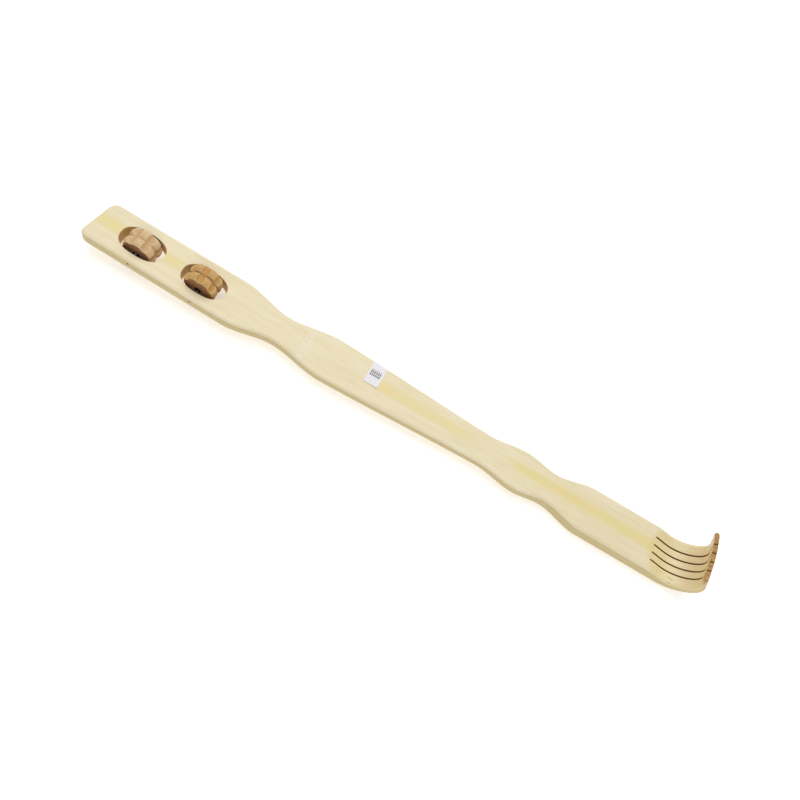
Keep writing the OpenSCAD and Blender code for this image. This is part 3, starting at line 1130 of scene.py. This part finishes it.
    def build(self) -> Object:
        """Builds the strip as one closed mesh.

        Returns:
            The strip, dressed, on its body and standing for its solid.
        """
        section, cutter, wood = self.section(), self.slot_cutter(), self.finish.make(self)
        angle = math.radians(self.kink)
        pitch = self.roller_x[1] - self.roller_x[0]
        top = self.tip_len + 2 * self.bend_r + self.over
        saw_x = self.length + self.over - self.slit_x
        saw_z = top + self.shank_t + self.over
        slits = self.fingers - 1
        first_y = -(slits - 1) / 2 * self.slit_pitch
        first = np.array([self.slit_x + first_y * self.claw_out + saw_x / 2, first_y, top - saw_z / 2])
        values = {
            "Section": section,
            "Slot cutter": cutter,
            "Half width": self.shank[1] / 2 * MM,
            "Scoop start": self.scoop_x * MM,
            "Scoop end": self.bend_x * MM,
            "Scoop depth": self.scoop_depth * MM,
            "Scoop arch": self.scoop_arch * MM,
            "Claw dish": self.claw_dish * MM,
            "First slot": self.handle_point(self.roller_x[0] + self.axle_back, 0),
            "Slot step": (pitch * MM, 0.0, -math.tan(angle) * pitch * MM),
            "Slot turn": (0.0, angle, 0.0),
            "First hole": self.handle_point(self.roller_x[0], self.axle_depth),
            "Hole radius": self.hole_d / 2 * MM,
            "Hole length": (self.shoulder[1] + 2 * self.over) * MM,
            "Slits": slits,
            "First slit": tuple(float(c) for c in self.to_frame(first)),
            "Slit step": (self.slit_pitch * self.claw_out * MM, self.slit_pitch * MM, 0.0),
            "Slit size": (saw_x * MM, self.slit_w * MM, saw_z * MM),
            "Material": wood,
        }
        mesh = self.recipe(values).run(self.rail())
        mesh.materials.clear()
        mesh.materials.append(wood)
        bpy.data.objects.remove(section)
        bpy.data.objects.remove(cutter)
        for name in [a.name for a in mesh.attributes if a.domain == "POINT" and a.name != "position"]:
            mesh.attributes.remove(mesh.attributes[name])
        mesh.name = "planed_bamboo_strip"
        made = link_object("planed_bamboo_strip", mesh)
        self.dress(mesh)
        return seat(made, self.node, Body.STRIP)

    def dress(self, mesh: Mesh) -> None:
        """Marks the grain on the strip, sets its edges and gives the sawn ends their own finish.

        Args:
            mesh: The strip's mesh.
        """
        grain, way = self.grain(read(mesh.vertices, "co"))
        along, across, depth = grain.T
        facing = np.einsum("ij,ij->i", read(mesh.vertices, "normal"), way)
        # the walls inside the slots get the cut colour, which carries painted shade as well as the cut wood's
        # own tone
        wall = 0 * along
        for x in self.roller_x:
            u, v = (along - x - self.axle_back) * 2 / self.slot_len, across * 2 / self.slot_w
            inside = np.abs(u) ** self.slot_power + np.abs(v) ** self.slot_power < self.slot_margin
            wall = np.maximum(wall, np.where(inside, ease(depth, *self.wall_mark), 0))
        start = self.scoop_start(across)
        fading = 1 - ease(along, self.slit_x, self.slit_x + self.scoop_len, self.scoop_fade)
        scooped = ease(along, start, start + self.scoop_ease) * fading * ease(-facing, *self.scoop_mark)
        attributes(mesh, {
            "grain": grain,
            # painted shade, with the denser wood: faces turning down from the planed face to the sides get
            # the flank colour
            "flank": ease(facing, *self.flank_mark) * (1 - wall),
            "rind": ease(facing, *self.rind_mark) * (1 - wall),
            "slot_wall": wall,
            "scooped": scooped,
        })
        mesh.set_sharp_from_angle(angle=math.radians(self.sharp_angle))
        mesh.materials.append(self.end_finish.make())
        stations = self.grain(read(mesh.polygons, "center"))[0][:, 0]
        tip = stations > self.bend_x + self.claw_len - self.sawn_tip
        butt = (read(mesh.polygons, "normal")[:, 0] < self.sawn_facing) & (stations < self.skew_len)
        mesh.polygons.foreach_set("material_index", (tip | butt).astype(np.int32))


@dataclass
class StudRoller:
    """A turned roller with two rings of studs, loose on its axle."""

    node: str
    body: Body
    wear: Wear
    turn: float
    finish: TurnedWood
    diameter: float = 23.9
    length: float = 13.6
    groove: float = 1.5
    flutes: int = 7
    flute_r: float = 2.9
    flute_depth: float = 2.3
    bore: float = 4.6
    over: float = 5.0
    grit: float = 0.2
    rub: float = 0.5
    sides: int = 180
    heights: int = 49
    flute_sides: int = 72
    # the marks' reaches: by depth under the crown, by bulge, by turn to the end, and from the middle groove
    notch_start: float = 0.15
    notch_share: float = 0.8
    rub_mark: Reach = (0.02, 0.1, 0.8)
    end_mark: Reach = (0.6, 0.9, 1.0)
    end_strength: float = 0.92
    groove_mark: Reach = (0.99, 0.09, 0.8)
    bore_shade_rim: float = 0.25

    def crown(self, z: np.ndarray) -> np.ndarray:
        """Gives the radius over the studs at heights along the axle."""
        quarter = self.length / 4
        return self.diameter / 2 - self.groove * ((np.abs(z) - quarter) / quarter) ** 2

    def recipe(self, values: dict[str, Any]) -> GeometryRecipe:
        """Makes the tree that cuts the ring of flutes and sets the roller on its axle.

        Args:
            values: The tree's inputs by name.

        Returns:
            The tree, ready to run.
        """
        made = GeometryRecipe("Fluted roller", values)
        tree, given = made.tree, made.given
        ring = {"Vertices": given["Flutes"], "Radius": given["Flute circle"]}
        circle = add(tree, "GeometryNodeMeshCircle", inputs=ring)
        turning = {"Geometry": circle, "Rotation": given["First flute"]}
        turned = add(tree, "GeometryNodeTransform", inputs=turning)
        round_tool = {"Radius": given["Flute radius"], "Depth": given["Flute length"]}
        round_tool["Vertices"] = self.flute_sides
        gouge = add(tree, "GeometryNodeMeshCylinder", inputs=round_tool).outputs["Mesh"]
        copies = add(tree, "GeometryNodeInstanceOnPoints", inputs={"Points": turned, "Instance": gouge})
        flutes = add(tree, "GeometryNodeRealizeInstances", inputs={"Geometry": copies})
        solver = {"operation": "DIFFERENCE", "solver": "MANIFOLD"}
        cut = add(tree, "GeometryNodeMeshBoolean", solver, {"Mesh 1": given["Geometry"], "Mesh 2": flutes})
        placing = {"Geometry": cut, "Translation": given["Centre"], "Rotation": (QUARTER_TURN, 0.0, 0.0)}
        made.finish(add(tree, "GeometryNodeTransform", inputs=placing))
        return made

    def centre(self) -> Vector:
        """Gives the middle of the roller's bore, from its joint."""
        return Vector(next(j for j in frame["joints"] if j["child"] == self.body.value)["pos_m"])

    def build(self) -> Object:
        """Builds the roller, rounds it by its wear and marks where it is cut and rubbed.

        Returns:
            The roller, dressed, on its body and standing for its solid.
        """
        half = self.length / 2
        outline = [(float(self.crown(z)), float(z)) for z in np.linspace(-half, half, self.heights)]
        outline += [(self.bore / 2, half), (self.bore / 2, -half)]
        wood = self.finish.make()
        values = {
            "Flutes": self.flutes,
            "Flute radius": self.flute_r * MM,
            "Flute circle": (self.diameter / 2 - self.flute_depth + self.flute_r) * MM,
            "Flute length": (self.length + 2 * self.over) * MM,
            "First flute": (0.0, 0.0, QUARTER_TURN + math.radians(self.turn)),
            "Centre": tuple(self.centre()),
            "Material": wood,
        }
        blank = lathe("roller_blank", outline, self.sides)
        worn = link_object("worn_blank", self.recipe(values).run(blank))
        remesh = worn.modifiers.new("Fine skin", "REMESH")
        remesh.mode, remesh.voxel_size, remesh.use_smooth_shade = "VOXEL", self.grit * MM, True
        smooth = worn.modifiers.new("Rubbed edges", "SMOOTH")
        smooth.factor, smooth.iterations = self.rub, self.wear.value
        mesh = finished_mesh(worn)
        mesh.name = self.node + "_turned"
        mesh.materials.clear()
        mesh.materials.append(wood)
        self.dress(mesh)
        return seat(link_object(self.node + "_turned", mesh), self.node, self.body)

    def dress(self, mesh: Mesh) -> None:
        """Marks the notches, the rubbed edges, the end grain and the bore on the roller's points.

        Args:
            mesh: The roller's mesh.
        """
        points, normals = read(mesh.vertices, "co"), read(mesh.vertices, "normal")
        own = (points - np.array(self.centre())) / MM
        radius = np.hypot(own[:, 0], own[:, 2])
        below = self.crown(np.clip(own[:, 1], -self.length / 2, self.length / 2)) - radius
        notch_full = self.notch_start + self.notch_share * self.flute_depth

        # how far a point stands proud of its neighbours, in voxels
        ends = np.zeros(len(mesh.edges) * 2, np.int32)
        mesh.edges.foreach_get("vertices", ends)
        ends = ends.reshape(-1, 2)
        total, near = np.zeros_like(points), np.zeros(len(points))
        for a, b in ((0, 1), (1, 0)):
            np.add.at(total, ends[:, a], points[ends[:, b]])
            np.add.at(near, ends[:, a], 1)
        bulge = np.einsum("ij,ij->i", points - total / near[:, None], normals) / (self.grit * MM)

        # the end faces, found by how far they face along the axle, are darkened as end grain and as painted
        # shade
        end = ease(np.abs(normals[:, 1]), *self.end_mark)
        attributes(mesh, {
            "notch": ease(below, self.notch_start, notch_full) * (1 - end),
            "rub": ease(bulge, *self.rub_mark) * (1 - end),
            "groove": ease(np.abs(own[:, 1]), *self.groove_mark),
            "end_grain": self.end_strength * end,
            # painted shade: the bore's wall and a thin rim round it are coloured near-black
            "bore_wall": (radius < self.bore / 2 + self.bore_shade_rim).astype(float),
        })


@dataclass
class Axle:
    """A steel pin pushed across the handle, cut and chamfered at both ends."""

    node: str
    metal: Material
    diameter: float = 2.0
    chamfer: float = 0.3
    dish: float = 0.12
    burr: float = 0.05
    # where the dished end and the chamfer turn, as shares outward and down
    dish_turn: tuple[float, float] = (0.4, 0.6)
    chamfer_turn: tuple[float, float] = (0.4, 0.3)
    sides: int = 48
    sharp_angle: float = 30.0

    def build(self) -> Object:
        """Builds the pin in its solid's place.

        Returns:
            The pin, dressed, on its body and standing for its solid.
        """
        low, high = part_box(self.node)
        half = (high.y - low.y) / 2 / MM
        radius = self.diameter / 2
        (dish_out, dish_down), (turn_out, turn_down) = self.dish_turn, self.chamfer_turn
        rim = [
            (0.0, half - self.dish),
            (radius * dish_out, half - self.dish * dish_down),
            (radius - self.chamfer - self.burr, half),
            (radius - self.chamfer, half),
            (radius - self.chamfer * turn_out, half - self.chamfer * turn_down),
            (radius, half - self.chamfer),
            (radius, 0.0),
        ]
        made = lathe(self.node + "_pin", rim + [(r, -z) for r, z in reversed(rim[:-1])], self.sides)
        made.data.transform(Matrix.Translation((low + high) / 2) @ Matrix.Rotation(QUARTER_TURN, 4, "X"))
        made.data.shade_smooth()
        made.data.set_sharp_from_angle(angle=math.radians(self.sharp_angle))
        made.data.materials.append(self.metal)
        return seat(made, self.node, Body.STRIP)


@dataclass
class PaperLabel:
    """A slip of paper stuck across the planed face and folded down over the far edge."""

    strip: BambooStrip
    finish: LabelPaper = field(default_factory=LabelPaper)
    length: float = 10.5
    past: float = 2.0
    fold: float = 4.0
    x: float = 209.0
    thick: float = 0.2
    curl: float = 0.3
    curl_least: float = 0.4
    curl_run: float = 3.0
    print_area: tuple[tuple[float, float], tuple[float, float]] = ((1.2, 8.8), (6.0, 11.0))
    sharp_angle: float = 40.0
    # how many points it has along the strip, and across the face, round the edge and down the side
    rail_points: int = 13
    section_points: tuple[int, int, int] = (25, 12, 5)
    node: str = "paper_label"

    def rail(self) -> Object:
        """Makes the line along the strip that the paper's section is swept along.

        Returns:
            The line as an object.
        """
        along = np.linspace(0, self.length, self.rail_points)
        x = self.x - self.length / 2 + along
        flat = self.strip.width(x) / 2 - self.strip.edge_r
        points = self.strip.to_frame(np.stack([x, 0 * x, self.strip.face_z(x)], axis=1))
        lift = self.curl * (self.curl_least + (1 - self.curl_least) * along / self.length)
        values = {"base": points, "flat": flat * MM, "lift": lift * MM, "along": along * MM}
        return polyline("label_rail", points, False, values)

    def section(self) -> Object:
        """Makes the paper's section: out over the face, round the edge, down the side and back underneath.

        Returns:
            The outline as an object.
        """
        on_face, round_edge, down_side = self.section_points
        radius = self.strip.edge_r
        sides = []
        for out in (self.thick, 0.0):
            over = radius + out
            rows = [(u, 0.0, out, max(1 - u * self.curl_run, 0) ** 2) for u in np.linspace(0, 1, on_face)]
            for turn in np.linspace(0, QUARTER_TURN, round_edge)[1:]:
                rows.append((1.0, over * math.sin(turn), over * math.cos(turn) - radius, 0.0))
            rows += [(1.0, over, -z, 0.0) for z in np.linspace(radius, self.fold, down_side)[1:]]
            sides.append(np.array(rows))
        share, beyond, height, curled = np.concatenate([sides[1], sides[0][::-1]]).T

        # any open shape will do here too
        wide = 10
        places = np.stack([share * wide + beyond, height, 0 * share], axis=1) * MM
        values = {"share": share, "beyond": beyond * MM, "height": height * MM, "curled": curled}
        return polyline("label_section", places, True, values)

    def recipe(self, values: dict[str, Any]) -> GeometryRecipe:
        """Makes the tree that lays the paper over the strip's face and its rounded edge.

        Args:
            values: The tree's inputs by name.

        Returns:
            The tree, ready to run.
        """
        numbers = "share beyond height curled flat lift along"
        made = GeometryRecipe("Folded label", values, numbers, "base")
        tree = made.tree
        lie = work_out(tree, made.known, (
            ("span", "ADD", "flat", "Past"),
            ("from edge", "MULTIPLY_ADD", "share", "span", "beyond"),
            ("across", "SUBTRACT", "from edge", "Past"),
            ("above", "MULTIPLY_ADD", "curled", "lift", "height"),
        ))
        aside = add(tree, "ShaderNodeCombineXYZ", inputs={"Y": lie["across"], "Z": lie["above"]})
        place = add(tree, "ShaderNodeVectorMath", {"operation": "ADD"}, {0: lie["base"], 1: aside})
        laid = add(tree, "GeometryNodeSetPosition", inputs={"Geometry": made.sweep(), "Position": place})

        # the places on the flat sheet, in millimetres, for the print
        sheet = add(tree, "ShaderNodeCombineXYZ", inputs={"X": lie["along"], "Y": lie["from edge"]})
        sheet = add(tree, "ShaderNodeVectorMath", {"operation": "SCALE"}, {0: sheet, "Scale": 1 / MM})
        stored = {"Geometry": laid, "Name": "sheet", "Value": sheet}
        made.finish(add(tree, "GeometryNodeStoreNamedAttribute", {"data_type": "FLOAT_VECTOR"}, stored))
        return made

    def build(self) -> Object:
        """Builds the paper as a closed sheet with a slightly lifted near edge.

        Returns:
            The label, dressed, on its body and standing for its solid.
        """
        section = self.section()
        values = {"Section": section, "Past": self.past * MM, "Material": self.finish.make(self)}
        mesh = self.recipe(values).run(self.rail())
        bpy.data.objects.remove(section)
        mesh.name = "folded_label"
        mesh.set_sharp_from_angle(angle=math.radians(self.sharp_angle))
        return seat(link_object("folded_label", mesh), self.node, Body.STRIP)


@dataclass
class Studio:
    """A pale floor, soft lights and a camera that looks down on the strip from its near side."""

    elevation: float = 65.0
    azimuth: float = -3.323
    roll: float = 33.479
    distance: float = 510.645
    look: Triple = (0.781, 0.138, 10.0)
    focal_px: float = 765.789
    frame_px: float = 800.0
    sensor: float = 36.0
    clip: tuple[float, float] = (10.0, 20000.0)
    floor: str = "#F4F4F4"
    floor_half: float = 6000.0
    floor_gap: float = 0.2
    floor_roughness: float = 0.9
    glow: float = 0.46
    sky: float = 0.48
    # a large key light over the far side and a weak fill: name, place, width and power in watts
    lamps: tuple[tuple[str, Triple, float, float], ...] = (
        ("key", (-250.0, 550.0, 1100.0), 1400.0, 9.4),
        ("fill", (500.0, -900.0, 800.0), 1200.0, 2.5),
    )

    def camera(self) -> None:
        """Makes the camera and gives it to the scene."""
        data = bpy.data.cameras.new("camera")
        data.sensor_width = self.sensor
        data.lens = self.focal_px * self.sensor / self.frame_px
        data.clip_start, data.clip_end = (c * MM for c in self.clip)
        made = link_object("camera", data)
        e, a, r = (math.radians(v) for v in (self.elevation, self.azimuth, self.roll))
        back = Vector((math.sin(a) * math.cos(e), -math.cos(a) * math.cos(e), math.sin(e)))
        right = (-back).cross(Vector((0, 0, 1))).normalized()
        up = right.cross(-back)
        across = right * math.cos(r) + up * math.sin(r)
        upright = up * math.cos(r) - right * math.sin(r)
        turn = Matrix((across, upright, back)).transposed().to_4x4()
        made.matrix_world = Matrix.Translation((Vector(self.look) + back * self.distance) * MM) @ turn
        bpy.context.scene.camera = made

    def light(self) -> None:
        """Makes the lamps and an even sky."""
        for name, place, size, power in self.lamps:
            data = bpy.data.lights.new(name, "AREA")
            data.shape, data.size, data.energy = "DISK", size * MM, power
            made = link_object(name, data)
            made.location = Vector(place) * MM
            made.rotation_euler = (-Vector(place)).to_track_quat("-Z", "Y").to_euler()
        world = bpy.data.worlds.new("studio")
        world.use_nodes = True
        sky = world.node_tree.nodes["Background"]
        sky.inputs["Color"].default_value = (1, 1, 1, 1)
        sky.inputs["Strength"].default_value = self.sky
        bpy.context.scene.world = world

    def ground(self) -> None:
        """Makes the floor that the scratcher lies on, a pale table lit from below."""
        mesh = bpy.data.meshes.new("floor")
        half = self.floor_half * MM
        corners = [(-half, -half, 0), (half, -half, 0), (half, half, 0), (-half, half, 0)]
        mesh.from_pydata(corners, [], [(0, 1, 2, 3)])
        material = bpy.data.materials.new("pale_floor")
        material.use_nodes = True
        surface = material.node_tree.nodes["Principled BSDF"].inputs
        surface["Base Color"].default_value = surface["Emission Color"].default_value = linear(self.floor)
        surface["Roughness"].default_value = self.floor_roughness
        surface["Emission Strength"].default_value = self.glow
        mesh.materials.append(material)
        made = link_object("floor", mesh)
        made.location.z = CAD_BOX[0].z - self.floor_gap * MM

    def build(self) -> None:
        """Builds the whole studio."""
        self.ground()
        self.light()
        self.camera()
        bpy.context.scene.view_settings.view_transform = "Standard"


def report(made: Object) -> None:
    """Logs a finished piece with its size."""
    triangles = sum(len(p.vertices) - 2 for p in made.data.polygons)
    LOG.info("%s: %d triangles, %s mm", made.name, triangles, [round(v / MM, 2) for v in made.dimensions])


def main() -> None:
    """Builds every piece, then the studio."""
    logging.basicConfig(level=logging.INFO, format="%(name)s %(message)s")
    strip = BambooStrip()
    steel = DrawnSteel().make()
    rubbed = TurnedWood("turned_wood_rubbed", "#E0C397", "#C9A374", "#CCA677", "#EAD4AF", "#C39C6B")
    # the fresh roller's last colour is its end faces', end grain with painted shade in it
    fresh = TurnedWood("turned_wood_fresh", "#D6AE70", "#AE8044", "#C3914A", "#E6C892", "#7C5326", "#82522B")
    pieces = [
        strip,
        StudRoller("end_roller", Body.END_ROLLER, Wear.WORN, 22.0, rubbed),
        StudRoller("neck_roller", Body.NECK_ROLLER, Wear.CRISP, 0.0, fresh),
        Axle("end_axle", steel),
        Axle("neck_axle", steel),
        PaperLabel(strip),
    ]
    for piece in pieces:
        report(piece.build())
    Studio().build()


if __name__ == "__main__":
    main()
